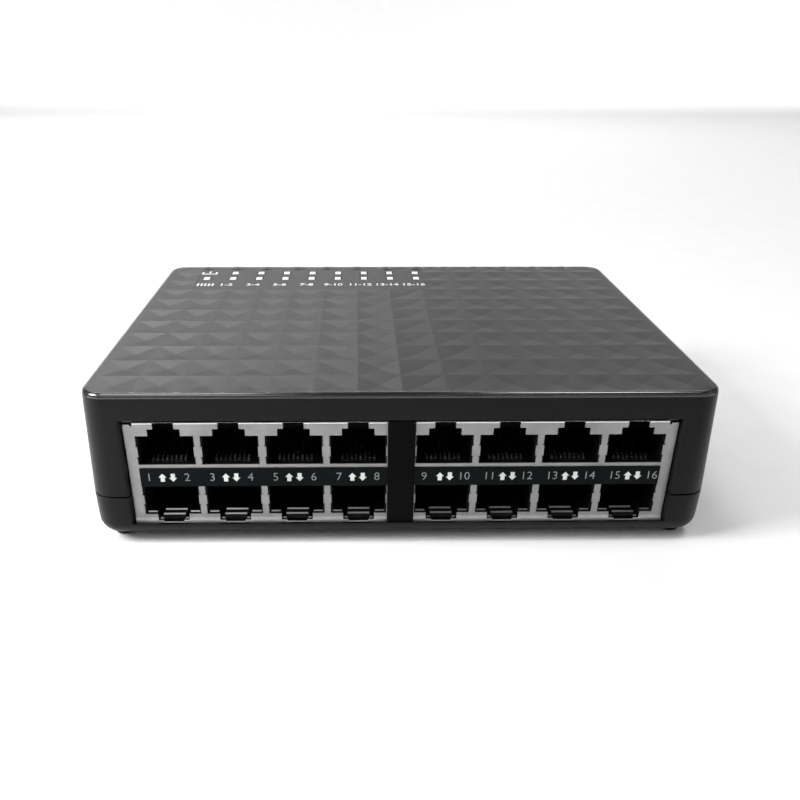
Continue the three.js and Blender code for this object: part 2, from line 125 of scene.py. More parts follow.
# Jacks
SHEET = 0.3
FOLD = (0.12, 0.18)              # depth and height of the fold along a shield's top edge, where a highlight is painted
PORT_WIDTH = 12.56
STEP_WIDTH = 7.03
NOTCH_WIDTH = 4.5
UPPER = {"sill": 19.72, "shoulder": 26.67, "step": 28.3, "notch": 29.8, "tab": (21.5, 24.1)}
LOWER = {"sill": 14.3, "shoulder": 6.97, "step": 5.35, "notch": 5.0, "tab": (11.9, 9.55)}
FLARE_TOP = 6.3                  # a shield's front leans outward below this height
FLARE_SLOPE = 0.18
RAMP_HALF = 2.6
TAB = 0.2                        # how far a side spring stands into a port
RELIEF_NOTCH = 0.25              # slits at both ends of a side spring
OUTER_CORNER = {"width": 2.0, "height": 0.45, "slot_x": (1.6, 2.1), "slot_z": (0.8, 0.2)}

# Printing: size of the numerals and how much wider their strokes are drawn
PORT_NUMERAL = (2.8, -0.03)
LAMP_NUMERAL = (3.1, 0.05)
LAMP_NUMERAL_SHIFT = (-1.2, -6.9)   # from a lamp of the front row to its numeral
PRINT = 0.02                     # how far the ink stands out of the surface
TICKS = {"count": 5, "start": -1.8, "pitch": 1.1, "width": 0.55, "half": 1.2}

# Zones of the materials
# Colour of the painted highlight and painted reflection on the shields' fronts
PAINTED_HIGHLIGHT_PLATE = (0.95, 0.95, 0.94)
COMB_BAR = {"front": -49.0, "back": -46.88, "reach_low": 1.7, "reach_high": 1.25}
CAPACITOR_STRIPE = (28.6, 31.0)

# Fasteners, feet and socket
FOOT_CLEAR = 2.9
FOOT_RECESS = 2.2
BOSS_ROWS = (-18.0, 36.0)
BOSS_X = 63.0
BOSS_R = 3.9
SCREW_WELL = {"radius": 2.9, "depth": 5.2, "hole": 1.5}
SCREW = {"head_r": 2.6, "seat": 2.15, "thread_r": 1.2, "root_r": 1.02, "turns": 18}
DC_AXIS_Z = 10.7
DC_BORE = {"radius": 3.15, "depth": 9.5, "flare": 0.5}


# ---------------------------------------------------------------- mesh tools

def add_mesh(name, points, faces):
    """A new object from points in millimetres."""
    mesh = bpy.data.meshes.new(name)
    mesh.from_pydata([Vector(p) * MM for p in points], [], faces)
    mesh.update()
    made = bpy.data.objects.new(name, mesh)
    bpy.context.scene.collection.objects.link(made)
    return made


def loft(name, loops):
    """A closed solid through loops of equal length, with flat ends."""
    count = len(loops[0])
    points = [p for loop in loops for p in loop]
    faces = [list(range(count))[::-1], [(len(loops) - 1) * count + i for i in range(count)]]
    for level in range(len(loops) - 1):
        for i in range(count):
            j = (i + 1) % count
            low, high = level * count, (level + 1) * count
            faces.append([low + i, low + j, high + j, high + i])
    made = add_mesh(name, points, faces)
    fix_normals(made)
    return made


def fix_normals(piece):
    work = bmesh.new()
    work.from_mesh(piece.data)
    bmesh.ops.recalc_face_normals(work, faces=work.faces)
    work.to_mesh(piece.data)
    work.free()


def box(name, x, y, z):
    """A block from three (low, high) pairs."""
    loops = [[(x[0], y[0], h), (x[1], y[0], h), (x[1], y[1], h), (x[0], y[1], h)] for h in z]
    return loft(name, loops)


def prism_y(name, outline, y0, y1):
    """An outline of (x, z) points, swept along Y."""
    return loft(name, [[(x, y, z) for x, z in outline] for y in (y0, y1)])


def prism_x(name, outline, x0, x1):
    """An outline of (y, z) points, swept along X."""
    return loft(name, [[(x, y, z) for y, z in outline] for x in (x0, x1)])


def turned(name, profile, centre, steps=40, along="z"):
    """A profile of (radius, height) points, turned about an upright axis or one along Y."""
    loops = []
    for radius, height in profile:
        loop = []
        for i in range(steps):
            a = 2 * math.pi * i / steps
            across, other = radius * math.cos(a), radius * math.sin(a)
            point = (across, other, height) if along == "z" else (across, height, other)
            loop.append(tuple(c + p for c, p in zip(centre, point)))
        loops.append(loop)
    return loft(name, loops)


def rounded(outline, radius, steps=3):
    """The same outline with each corner turned into a short curve."""
    made = []
    for i, corner in enumerate(outline):
        corner = Vector(corner)
        before, after = Vector(outline[i - 1]), Vector(outline[(i + 1) % len(outline)])
        reach = min(radius, (before - corner).length * 0.45, (after - corner).length * 0.45)
        start = corner + (before - corner).normalized() * reach
        end = corner + (after - corner).normalized() * reach
        for k in range(steps + 1):
            t = k / steps
            made.append(tuple(start * (1 - t) ** 2 + corner * 2 * t * (1 - t) + end * t ** 2))
    return made


def join(name, pieces):
    """One object from several."""
    work = bmesh.new()
    for piece in pieces:
        piece.data.transform(piece.matrix_world)
        work.from_mesh(piece.data)
        bpy.data.objects.remove(piece)
    mesh = bpy.data.meshes.new(name)
    work.to_mesh(mesh)
    work.free()
    made = bpy.data.objects.new(name, mesh)
    bpy.context.scene.collection.objects.link(made)
    return made


def bake(piece):
    """Turns a piece's modifiers or curve into its mesh."""
    bpy.context.view_layer.update()
    graph = bpy.context.evaluated_depsgraph_get()
    mesh = bpy.data.meshes.new_from_object(piece.evaluated_get(graph))
    if piece.type == "MESH":
        piece.modifiers.clear()
        piece.data = mesh
        return piece
    made = bpy.data.objects.new(piece.name, mesh)
    made.matrix_world = piece.matrix_world.copy()
    bpy.context.scene.collection.objects.link(made)
    bpy.data.objects.remove(piece)
    return made


def combine(piece, operation, tools):
    """Cuts tools from a piece, adds them to it, or keeps what they share."""
    for tool in tools:
        step = piece.modifiers.new(tool.name, "BOOLEAN")
        step.operation = operation
        step.solver = "EXACT"
        step.object = tool
    bake(piece)
    for tool in tools:
        bpy.data.objects.remove(tool)


def smooth(piece, angle=30):
    """Smooth shading between faces that meet at less than the angle."""
    piece.data.shade_smooth()
    piece.data.set_sharp_from_angle(angle=math.radians(angle))


def soften(piece, width):
    """Rounds a piece's edges by a width in millimetres."""
    bevel = piece.modifiers.new("edges", "BEVEL")
    bevel.width = width * MM
    bevel.segments = 2
    bevel.limit_method = "ANGLE"
    bevel.angle_limit = math.radians(30)
    bevel.use_clamp_overlap = False
    bevel.harden_normals = True
    bevel.miter_outer = "MITER_ARC"


def finish_piece(piece, material, body, replaces=()):
    """Gives a new piece its material, its body and what it stands for."""
    piece.data.materials.clear()
    piece.data.materials.append(material)
    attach(piece, body)
    if replaces:
        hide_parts(*replaces)


# ---------------------------------------------------------------- materials

def add_node(tree, kind, inputs=None, **settings):
    """A node whose inputs are values or other nodes' sockets."""
    node = tree.nodes.new(kind)
    for name, value in settings.items():
        setattr(node, name, value)
    for key, value in (inputs or {}).items():
        if isinstance(value, bpy.types.NodeSocket):
            tree.links.new(value, node.inputs[key])
        else:
            node.inputs[key].default_value = value
    return node


def surface(name, **values):
    """A material with a principled shader, whose even values are set on its own sockets."""
    made = bpy.data.materials.new(name)
    made.use_nodes = True
    shader = made.node_tree.nodes["Principled BSDF"]
    for key, value in values.items():
        shader.inputs[key.replace("_", " ")].default_value = value
    return made, made.node_tree, shader


def place_of(tree, scale=(1, 1, 1)):
    """The point in the object, stretched."""
    coordinates = add_node(tree, "ShaderNodeTexCoord")
    mapping = add_node(tree, "ShaderNodeMapping", {"Vector": coordinates.outputs["Object"]})
    mapping.inputs["Scale"].default_value = scale
    return mapping.outputs["Vector"]


def noise(tree, place, scale, detail=2.0, rough=0.5):
    inputs = {"Vector": place, "Scale": scale, "Detail": detail, "Roughness": rough}
    return add_node(tree, "ShaderNodeTexNoise", inputs).outputs["Fac"]


def ramp(tree, factor, stops):
    """Colours along a factor, as (position, (r, g, b)) pairs."""
    node = add_node(tree, "ShaderNodeValToRGB", {"Fac": factor})
    elements = node.color_ramp.elements
    while len(elements) < len(stops):
        elements.new(0.5)
    for element, (position, colour) in zip(elements, stops):
        element.position = position
        element.color = (*colour, 1)
    return node.outputs["Color"]


def spread(tree, factor, low, high):
    """A factor moved to the span from low to high."""
    inputs = {"Value": factor, "To Min": low, "To Max": high}
    return add_node(tree, "ShaderNodeMapRange", inputs).outputs["Result"]


def bump(tree, shader, height, depth):
    """Raises the surface by up to depth millimetres where height is 1."""
    inputs = {"Height": height, "Distance": depth * MM, "Strength": 1.0}
    node = add_node(tree, "ShaderNodeBump", inputs)
    tree.links.new(node.outputs["Normal"], shader.inputs["Normal"])


def calculate(tree, operation, *values):
    """The result of a math operation on sockets or numbers."""
    return add_node(tree, "ShaderNodeMath", dict(enumerate(values)), operation=operation).outputs[0]


def axes(tree, place):
    """A point's X, Y and Z."""
    return add_node(tree, "ShaderNodeSeparateXYZ", {"Vector": place}).outputs


def between(tree, value, low, high):
    """1 where a value lies between two levels in millimetres, and 0 elsewhere."""
    above = calculate(tree, "GREATER_THAN", value, low * MM)
    below = calculate(tree, "LESS_THAN", value, high * MM)
    return calculate(tree, "MULTIPLY", above, below)


def blend(tree, factor, under, over):
    """The colour under, with the colour over it where the factor is 1."""
    node = add_node(tree, "ShaderNodeMix", {"Factor": factor}, data_type="RGBA")
    tree.links.new(under, node.inputs["A"])
    node.inputs["B"].default_value = (*over, 1)
    return node.outputs["Result"]


def plain(name, dark, light, rough, texture, depth, **values):
    """A moulded or coated material: a mottled colour, uneven gloss and a fine surface texture."""
    made, tree, shader = surface(name, **values)
    place = place_of(tree)
    mottle = noise(tree, place, 60.0, 3.0)
    grain = noise(tree, place, texture, 2.0, 0.6)
    tree.links.new(ramp(tree, mottle, [(0.3, dark), (0.7, light)]), shader.inputs["Base Color"])
    gloss = noise(tree, place, 400.0, 4.0)
    tree.links.new(spread(tree, gloss, *rough), shader.inputs["Roughness"])
    bump(tree, shader, grain, depth)
    return made


def case_plastic():
    """Fine-textured black plastic whose top edge is worn smooth."""
    made = plain("case_plastic", (0.0028, 0.0028, 0.0029), (0.0038, 0.0038, 0.0039), (0.30, 0.38),
                 2600.0, 0.012, IOR=1.26)
    tree = made.node_tree
    shader = tree.nodes["Principled BSDF"]
    place = axes(tree, place_of(tree))
    taper = TOP_SLOPE * (HEIGHT - TOP_LOW.z) + TOP_EDGE_R
    beyond = []
    for axis, reach in (("X", TOP_HIGH.x - taper), ("Y", TOP_HIGH.y - taper)):
        away = calculate(tree, "ABSOLUTE", place[axis])
        beyond.append(calculate(tree, "GREATER_THAN", away, reach * MM))
    rim = calculate(tree, "MAXIMUM", *beyond)
    near_top = between(tree, place["Z"], HEIGHT - 1.1 * TOP_EDGE_R, HEIGHT + 1)
    worn = calculate(tree, "MULTIPLY", rim, near_top)
    tree.links.new(worn, shader.inputs["Coat Weight"])
    shader.inputs["Coat Roughness"].default_value = 0.16
    shader.inputs["Coat IOR"].default_value = 1.8
    return made


def post_plastic():
    """Duller plastic for the post, a little darker than the case plastic as painted shade."""
    return plain("post_plastic", (0.0020, 0.0020, 0.0021), (0.0030, 0.0030, 0.0031), (0.45, 0.6),
                 2600.0, 0.02, IOR=1.12)


def insulator_plastic():
    return plain("insulator_plastic", (0.0025, 0.0025, 0.0025), (0.004, 0.004, 0.004), (0.4, 0.52),
                 1800.0, 0.006, IOR=1.22)


def rubber():
    return plain("rubber", (0.006, 0.006, 0.006), (0.010, 0.010, 0.010), (0.75, 0.9),
                 3000.0, 0.03, IOR=1.4)


def epoxy():
    return plain("epoxy", (0.012, 0.012, 0.013), (0.020, 0.020, 0.021), (0.5, 0.65),
                 3500.0, 0.01, IOR=1.45)


def label_film():
    return plain("label_film", (0.0022, 0.0036, 0.0042), (0.0032, 0.0050, 0.0058), (0.3, 0.4),
                 3000.0, 0.006, IOR=1.15)


def white_ink():
    return plain("white_ink", (0.62, 0.64, 0.64), (0.80, 0.82, 0.82), (0.45, 0.6),
                 4000.0, 0.008)


def grey_ink():
    return plain("grey_ink", (0.21, 0.22, 0.22), (0.29, 0.30, 0.30), (0.45, 0.6),
                 4000.0, 0.008)


def paper():
    return plain("label_paper", (0.62, 0.62, 0.60), (0.72, 0.72, 0.70), (0.45, 0.6),
                 1500.0, 0.01)


def milky_lens():
    made = plain("milky_lens", (0.70, 0.72, 0.71), (0.82, 0.84, 0.83), (0.25, 0.4), 900.0, 0.01)
    shader = made.node_tree.nodes["Principled BSDF"]
    shader.inputs["Subsurface Weight"].default_value = 0.3
    shader.inputs["Subsurface Radius"].default_value = (0.001, 0.001, 0.001)
    return made


def metal(name, dark, light, rough, grain_scale, stretch, depth):
    """A metal with a drawn grain: stretch says how the grain runs."""
    made, tree, shader = surface(name, Metallic=1.0)
    grain = noise(tree, place_of(tree, stretch), grain_scale, 3.0)
    cloud = noise(tree, place_of(tree), 180.0, 4.0)
    tree.links.new(ramp(tree, cloud, [(0.3, dark), (0.7, light)]), shader.inputs["Base Color"])
    tree.links.new(spread(tree, grain, *rough), shader.inputs["Roughness"])
    bump(tree, shader, grain, depth)
    return made


def tinned_steel():
    """Dull plate with a painted highlight along the top fold and a painted reflection growing toward the
    bottom edge of each shield's front.
    """
    made = metal("tinned_steel", (0.265, 0.265, 0.26), (0.335, 0.335, 0.33), (0.42, 0.55),
                 900.0, (1.0, 0.2, 3.0), 0.004)
    tree = made.node_tree
    colour_input = tree.nodes["Principled BSDF"].inputs["Base Color"]
    place = axes(tree, place_of(tree))
    low, high = SHIELDS["left"]
    # Painted highlight along the top fold, and painted reflection that grows toward the bottom edge in place
    # of the floor light that the lip blocks
    fold_highlight_mask = between(tree, place["Z"], high.z - 2 * FOLD[1], high.z + GAP)
    at_front = between(tree, place["Y"], low.y - 2 * GAP, low.y + SHEET)
    bottom_reflection_ramp = add_node(tree, "ShaderNodeMapRange", {"Value": place["Z"],
                         "From Min": FLARE_TOP * MM, "From Max": LIP_TOP * MM}).outputs["Result"]
    painted_light_mask = calculate(tree, "MULTIPLY", calculate(tree, "MAXIMUM", fold_highlight_mask, bottom_reflection_ramp), at_front)
    dull = colour_input.links[0].from_socket
    tree.links.new(blend(tree, painted_light_mask, dull, PAINTED_HIGHLIGHT_PLATE), colour_input)
    return made


def zinc_steel():
    return metal("zinc_steel", (0.48, 0.48, 0.47), (0.62, 0.62, 0.62), (0.3, 0.5),
                 1200.0, (1.0, 1.0, 1.0), 0.006)


def aluminium():
    return metal("aluminium", (0.56, 0.57, 0.58), (0.70, 0.71, 0.72), (0.3, 0.48),
                 1400.0, (0.15, 3.0, 3.0), 0.006)


def polished_steel():
    return metal("polished_steel", (0.22, 0.22, 0.215), (0.29, 0.29, 0.28), (0.28, 0.38),
                 900.0, (0.2, 1.0, 1.0), 0.003)


def contact_comb():
    """Wires darkened with painted shade, with a painted highlight band just above the upper ports' sill, on
    a black moulded bar.
    """
    made, tree, shader = surface("contact_comb")
    place = place_of(tree)
    split = axes(tree, place)
    low = cad_box("contact_comb_02")[1].z - COMB_BAR["reach_low"]
    high = cad_box("contact_comb_01")[0].z + COMB_BAR["reach_high"]
    in_height = between(tree, split["Z"], low, high)
    in_bar = calculate(tree, "MULTIPLY", in_height,
                       between(tree, split["Y"], COMB_BAR["front"], COMB_BAR["back"]))
    wear = noise(tree, place, 700.0, 3.0)
    # Painted shade: the wires' colour is darkened
    shaded_wire = ramp(tree, wear, [(0.3, (0.12, 0.105, 0.085)), (0.7, (0.18, 0.16, 0.13))])
    # Painted highlight: a pale band where the wires catch light at the bottom of each upper port
    highlight_band = between(tree, split["Z"], UPPER["sill"] - 0.2, UPPER["sill"] + 0.7)
    wire = blend(tree, highlight_band, shaded_wire, (0.85, 0.84, 0.82))
    tree.links.new(blend(tree, in_bar, wire, (0.008, 0.008, 0.008)), shader.inputs["Base Color"])
    tree.links.new(spread(tree, in_bar, 1.0, 0.0), shader.inputs["Metallic"])
    tree.links.new(spread(tree, wear, 0.18, 0.4), shader.inputs["Roughness"])
    bump(tree, shader, noise(tree, place, 2500.0), 0.004)
    return made


def solder_mask():
    """Green board with paler tracks under the mask."""
    made, tree, shader = surface("solder_mask", IOR=1.5)
    place = place_of(tree)
    tracks = add_node(tree, "ShaderNodeTexBrick", {"Vector": place, "Scale": 160.0,
                      "Mortar Size": 0.09, "Color1": (1, 1, 1, 1), "Color2": (0.9, 0.9, 0.9, 1),
                      "Mortar": (0, 0, 0, 1)})
    cloud = noise(tree, place, 120.0, 3.0)
    green = ramp(tree, cloud, [(0.3, (0.010, 0.085, 0.034)), (0.7, (0.014, 0.11, 0.045))])
    colour = blend(tree, tracks.outputs["Fac"], green, (0.03, 0.19, 0.08))
    tree.links.new(colour, shader.inputs["Base Color"])
    tree.links.new(spread(tree, cloud, 0.25, 0.4), shader.inputs["Roughness"])
    bump(tree, shader, tracks.outputs["Fac"], 0.03)
    return made


def capacitor_sleeve():
    """Dark sleeve with a pale stripe, and bare aluminium on top."""
    made, tree, shader = surface("capacitor_sleeve")
    place = place_of(tree)
    split = axes(tree, place)
    bare = between(tree, split["Z"], cad_box("capacitor_1")[1].z - 0.3, HEIGHT)
    stripe = between(tree, split["Y"], *CAPACITOR_STRIPE)
    ink = noise(tree, place, 500.0, 2.0)
    sleeve = ramp(tree, ink, [(0.3, (0.010, 0.012, 0.020)), (0.7, (0.016, 0.018, 0.030))])
    striped = blend(tree, stripe, sleeve, (0.35, 0.36, 0.38))
    tree.links.new(blend(tree, bare, striped, (0.66, 0.67, 0.68)), shader.inputs["Base Color"])
    tree.links.new(bare, shader.inputs["Metallic"])
    tree.links.new(spread(tree, ink, 0.28, 0.42), shader.inputs["Roughness"])
    bump(tree, shader, ink, 0.01)
    return made


def studio_floor():
    return plain("studio_floor", (0.87, 0.87, 0.87), (0.89, 0.89, 0.89), (0.85, 0.95),
                 40.0, 0.05, IOR=1.2)


MATERIALS = {
    "case": case_plastic(),
    "post": post_plastic(),
    "insulator": insulator_plastic(),
    "rubber": rubber(),
    "epoxy": epoxy(),
    "film": label_film(),
    "white": white_ink(),
    "grey": grey_ink(),
    "paper": paper(),
    "lens": milky_lens(),
    "shield": tinned_steel(),
    "steel": zinc_steel(),
    "aluminium": aluminium(),
    "contact": contact_comb(),
    "edge": polished_steel(),
    "board": solder_mask(),
    "capacitor": capacitor_sleeve(),
}


# ---------------------------------------------------------------- covers

def top_half(z):
    """Half width and half depth of the top cover at a height."""
    grow = TOP_SLOPE * (TOP_LOW.z - z)
    return TOP_HIGH.x + grow, TOP_HIGH.y + grow


def base_half(z):
    """Half width and half depth of the bottom cover at a height."""
    grow = BASE_SLOPE * (z - SEAM_LOW)
    return BASE_HIGH.x + grow, BASE_HIGH.y + grow


def outline(half_x, half_y, radius):
    """A rounded rectangle, anticlockwise."""
    points = []
    for quarter, (sx, sy) in enumerate([(1, 1), (-1, 1), (-1, -1), (1, -1)]):
        for i in range(CORNER_STEPS + 1):
            a = math.radians(90 * (quarter + i / CORNER_STEPS))
            points.append((sx * (half_x - radius) + radius * math.cos(a),
                           sy * (half_y - radius) + radius * math.sin(a)))
    return points


def case_form(name, half_at, inset, z0, z1, low_edge=0.0, high_edge=0.0, steps=6):
    """The case's form between two heights, moved inward by inset, with rounded ends."""
    rings = []
    for k in range(steps + 1):
        a = math.radians(90 * k / steps)
        rings.append((low_edge * (1 - math.sin(a)), z0 + low_edge * (1 - math.cos(a))))
    for k in range(steps + 1):
        a = math.radians(90 * k / steps)
        rings.append((high_edge * (1 - math.cos(a)), z1 - high_edge * (1 - math.sin(a))))
    loops, last = [], None
    for shrink, z in rings:
        if (shrink, z) == last:
            continue
        last = (shrink, z)
        half_x, half_y = half_at(z)
        total = inset + shrink
        radius = max(CORNER_R - total, 0.5)
        loops.append([(x, y, z) for x, y in outline(half_x - total, half_y - total, radius)])
    return loft(name, loops)


SQUARE = ((-1, -1), (1, -1), (1, 1), (-1, 1))


def relief_block():
    """A block whose top is the tiled relief."""
    points, faces, known = [], [], {}

    def at(x, y, z):
        key = (round(x, 4), round(y, 4), round(z, 4))
        if key not in known:
            known[key] = len(points)
            points.append((x, y, RELIEF_TOP + z))
        return known[key]

    def patch(*corners):
        faces.append([at(*corner) for corner in corners])

    half = TILE / 2
    left = -TILE_COLUMNS * half
    for column in range(TILE_COLUMNS):
        for row in range(TILE_ROWS):
            cx, cy = left + TILE * (column + 0.5), TILE_FRONT + TILE * (row + 0.5)
            rim = [(cx + sx * half, cy + sy * half, 0.0) for sx, sy in SQUARE]
            inner = half * (1 - RIDGE)
            drop = -TILE_DEPTH * RIDGE / 2
            ring = [(cx + sx * inner, cy + sy * inner, drop) for sx, sy in SQUARE]
            for i in range(4):
                j = (i + 1) % 4
                patch(rim[i], rim[j], ring[j], ring[i])
                patch(ring[i], ring[j], (cx, cy, -TILE_DEPTH))
    rows = [TILE_FRONT + TILE * row for row in range(TILE_ROWS + 1)]
    for low, high in zip(rows, rows[1:]):
        for inside, outside in ((left, -WIDE), (-left, WIDE)):
            patch((inside, low, 0), (outside, low, 0), (outside, high, 0), (inside, high, 0))
    columns = [-WIDE, *(left + TILE * i for i in range(TILE_COLUMNS + 1)), WIDE]
    for low, high in zip(columns, columns[1:]):
        front = TILE_FRONT - TILE
        patch((low, TILE_FRONT, 0), (high, TILE_FRONT, 0), (high, front, 0), (low, front, 0))
    made = add_mesh("relief", points, faces)
    work = bmesh.new()
    work.from_mesh(made.data)
    rim = [edge for edge in work.edges if edge.is_boundary]
    sides = bmesh.ops.extrude_edge_only(work, edges=rim)["geom"]
    for vertex in sides:
        if isinstance(vertex, bmesh.types.BMVert):
            vertex.co.z = 5 * MM
    bmesh.ops.holes_fill(work, edges=[edge for edge in work.edges if edge.is_boundary])
    bmesh.ops.recalc_face_normals(work, faces=work.faces)
    work.to_mesh(made.data)
    work.free()
    return made


def sharpen_relief(piece):
    """Keeps the facets of the relief flat, while the rounded edges stay smooth."""
    work = bmesh.new()
    work.from_mesh(piece.data)
    for edge in work.edges:
        faces = edge.link_faces
        if len(faces) != 2 or min(face.normal.z for face in faces) < 0.99:
            continue
        if faces[0].normal.angle(faces[1].normal) > math.radians(0.5):
            edge.smooth = False
    work.to_mesh(piece.data)
    work.free()


def lamp_centres():
    centres = []
    for column in range(LAMP_COLUMNS):
        for row, y in enumerate(LAMP_ROWS):
            if column or row == 0:
                centres.append((LAMP_X + column * LAMP_PITCH, y))
    return centres


def dc_cutter(name):
    return box(name, (DC_LOW.x - GAP, DC_HIGH.x + GAP), (DC_HIGH.y - 6, DC_HIGH.y + 6),
               (DC_LOW.z - 0.1, DC_HIGH.z + GAP))


def front_opening(name, half_at, heights):
    """Cutter for the opening round the jacks, whose upright edges are rounded at the front."""
    loops = []
    for z in heights:
        face = -half_at(z)[1]
        side = [(CUTOUT_HALF, JACK_ROOM_BACK)]
        for k in range(5):
            a = math.radians(22.5 * k)
            side.append((CUTOUT_HALF + CUTOUT_EDGE_R * (1 - math.cos(a)),
                         face + CUTOUT_EDGE_R * (1 - math.sin(a))))
        side.append((CUTOUT_HALF + CUTOUT_EDGE_R, -WIDE))
        loops.append([(x, y, z) for x, y in side] + [(-x, y, z) for x, y in reversed(side)])
    return loft(name, loops)


def top_shell():
    shell = case_form("top_shell", top_half, 0, TOP_LOW.z, HEIGHT, low_edge=SEAM_EDGE_R,
                      high_edge=TOP_EDGE_R)
    combine(shell, "INTERSECT", [relief_block()])
    zone_x = (LAMP_ZONE["x0"], LAMP_ZONE["x1"])
    zone_y = (LAMP_ZONE["y0"], LAMP_ZONE["y1"])
    fill = box("fill", zone_x, zone_y, (HEIGHT - 1, HEIGHT + 0.5))
    level = box("level", (zone_x[0] - 0.01, zone_x[1] + 0.01), (zone_y[0] - 0.01, zone_y[1] + 0.01),
                (LAMP_ZONE["z"], HEIGHT + 1))
    combine(shell, "UNION", [fill])
    combine(shell, "DIFFERENCE", [level])
    inner = case_form("inner", top_half, WALL, 0, HEIGHT - ROOF, high_edge=0.6, steps=3)
    combine(shell, "DIFFERENCE", [inner])
    cutters = [front_opening("front", top_half, (TOP_LOW.z - 2, CUTOUT_TOP)), dc_cutter("socket")]
    for i in range(VENTS["count"]):
        y = VENTS["middle"] + (i - (VENTS["count"] - 1) / 2) * VENTS["pitch"]
        span = (y - VENTS["width"] / 2, y + VENTS["width"] / 2)
        for side in (-1, 1):
            ends = sorted((side * (TOP_HIGH.x - 5), side * WIDE))
            slot = [(span[0], VENTS["low"]), (span[1], VENTS["low"]),
                    (span[1], VENTS["high"]), (span[0], VENTS["high"])]
            cutters.append(prism_x("vent", rounded(slot, VENTS["round"]), *ends))
    for x, y in lamp_centres():
        half_x, half_y = LAMP_HOLE["width"] / 2, LAMP_HOLE["depth"] / 2
        cutters.append(box("lamp", (x - half_x, x + half_x), (y - half_y, y + half_y),
                           (LAMP_HOLE["low"], HEIGHT + 1)))
    combine(shell, "DIFFERENCE", [join("cutters", cutters)])
    smooth(shell)
    sharpen_relief(shell)
    finish_piece(shell, MATERIALS["case"], "case_body", ["top_cover"])


def screw_places():
    return [(side * BOSS_X, y) for side in (-1, 1) for y in BOSS_ROWS]


def base_shell():
    shell = case_form("base_shell", base_half, 0, BASE_LOW.z, SEAM_LOW, low_edge=BASE_EDGE_R,
                      high_edge=SEAM_EDGE_R, steps=8)
    inner = case_form("inner", base_half, BASE_WALL, BASE_LOW.z + FLOOR, WIDE, low_edge=1.5, steps=3)
    combine(shell, "DIFFERENCE", [inner])
    tongue = case_form("tongue", top_half, WALL + GAP, SEAM_LOW - 1.5, SEAM_LOW + 1.7)
    hollow = case_form("hollow", top_half, WALL + GAP + TONGUE, 0, WIDE)
    combine(tongue, "DIFFERENCE", [hollow])
    combine(shell, "UNION", [tongue])
    base_z = BASE_LOW.z
    bosses = [turned("boss", [(BOSS_R, base_z + 0.2), (BOSS_R, SEAM_LOW + 0.55)], (x, y, 0))
              for x, y in screw_places()]
    combine(shell, "UNION", [join("bosses", bosses)])
    combine(shell, "DIFFERENCE", [front_opening("front", base_half, (LIP_TOP, SEAM_LOW + 5))])
    shield_room = box("shield_room", (-CUTOUT_HALF, CUTOUT_HALF), (LIP_BACK, JACK_ROOM_BACK),
                      (LIP_FLOOR, LIP_TOP + 1))
    combine(shell, "DIFFERENCE", [shield_room])
    board_room = box("board_room", (-CUTOUT_HALF, CUTOUT_HALF), (BOARD_FRONT - GAP, JACK_ROOM_BACK),
                     (base_z + FLOOR, LIP_TOP + 1))
    combine(shell, "DIFFERENCE", [board_room])
    cutters = [dc_cutter("socket")]
    well, depth, hole = SCREW_WELL["radius"], SCREW_WELL["depth"], SCREW_WELL["hole"]
    for x, y in screw_places():
        steps = [(well, 0), (well, depth), (hole, depth), (hole, SEAM_LOW + 3)]
        cutters.append(turned("well", steps, (x, y, 0)))
    for hand in ("front_left", "front_right", "rear_left", "rear_right"):
        low, high = cad_box(f"rubber_foot_{hand}")
        centre = (low + high) / 2
        cutters.append(turned("recess", [(FOOT_CLEAR, 0), (FOOT_CLEAR, FOOT_RECESS)],
                              (centre.x, centre.y, 0)))
    combine(shell, "DIFFERENCE", [join("cutters", cutters)])
    smooth(shell)
    finish_piece(shell, MATERIALS["case"], "case_body", ["bottom_cover"])


def post():
    """Upright bar of the bottom cover between the two jack blocks, with rounded front edges."""
    half, front, back = POST["half"], POST["front"], POST["back"]
    face = rounded([(-half, back), (-half, front), (half, front), (half, back)], 0.35)
    high = CUTOUT_TOP - GAP
    bar = loft("post", [[(x, y, z) for x, y in face] for z in (POST["low"], high)])
    web = box("web", (-POST["web"], POST["web"]), (back - 0.2, JACK_ROOM_BACK),
              (POST["web_low"], high - GAP))
    combine(bar, "UNION", [web])
    smooth(bar)
    finish_piece(bar, MATERIALS["post"], "case_body")


# ---------------------------------------------------------------- jacks

def port_outline(x, levels):
    """A port's stepped opening, with a side spring between two slits on each side."""
    tab_low, tab_high = levels["tab"]
    slit = RELIEF_NOTCH if levels["shoulder"] > levels["sill"] else -RELIEF_NOTCH
    half = PORT_WIDTH / 2
    side = [(half, levels["sill"]),
            (half, tab_low - slit), (half + TAB, tab_low - slit),
            (half + TAB, tab_low), (half - TAB, tab_low),
            (half - TAB, tab_high), (half + TAB, tab_high),
            (half + TAB, tab_high + slit), (half, tab_high + slit),
            (half, levels["shoulder"]),
            (STEP_WIDTH / 2, levels["shoulder"]), (STEP_WIDTH / 2, levels["step"]),
            (NOTCH_WIDTH / 2, levels["step"]), (NOTCH_WIDTH / 2, levels["notch"])]
    left = [(x - px, z) for px, z in side]
    right = [(x + px, z) for px, z in reversed(side)]
    return rounded(left + right, 0.08, 2)


def flare(piece, front):
    """Leans the lowest part of a shield's front sheet outward."""
    work = bmesh.new()
    work.from_mesh(piece.data)
    whole = work.verts[:] + work.edges[:] + work.faces[:]
    bmesh.ops.bisect_plane(work, geom=whole, plane_co=(0, 0, FLARE_TOP * MM), plane_no=(0, 0, 1))
    for vertex in work.verts:
        below = FLARE_TOP * MM - vertex.co.z
        if below > 0 and vertex.co.y < (front + 2 * SHEET) * MM:
            vertex.co.y -= FLARE_SLOPE * below
    work.to_mesh(piece.data)
    work.free()


